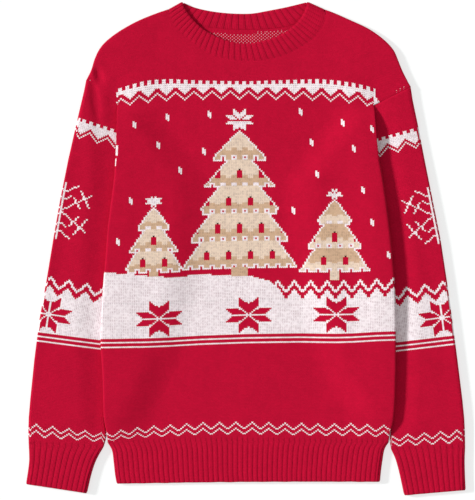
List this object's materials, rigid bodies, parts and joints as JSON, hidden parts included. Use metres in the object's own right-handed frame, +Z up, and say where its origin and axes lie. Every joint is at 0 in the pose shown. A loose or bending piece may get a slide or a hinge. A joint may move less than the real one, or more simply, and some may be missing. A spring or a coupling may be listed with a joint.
{
  "type": "knitted pullover, laid flat",
  "caption": "Crew-neck knitted pullover laid flat on its back: ribbed neckband, hem and cuffs, long sleeves folded down beside the body and tucked a little under its sides.",
  "frame": {"origin": "middle of the bounding box in plan, on the surface that the garment lies on", "axes": "+Z up out of the front of the garment, +Y from hem to neck, +X to the right of a viewer who looks down with the neck away from them"},
  "size_m": [0.6031, 0.677, 0.014],
  "materials": {
    "jacquard_knit": "soft double jacquard knit, matt with a slight nap",
    "rib_knit": "soft knitted rib, matt with a slight nap"
  },
  "bodies": {
    "root": {"front_panel": "jacquard_knit", "back_panel": "jacquard_knit", "sleeve_left": "jacquard_knit", "sleeve_right": "jacquard_knit", "cuff_left": "rib_knit", "cuff_right": "rib_knit", "hem_rib": "rib_knit", "neckband": "rib_knit"}
  },
  "joints": []
}
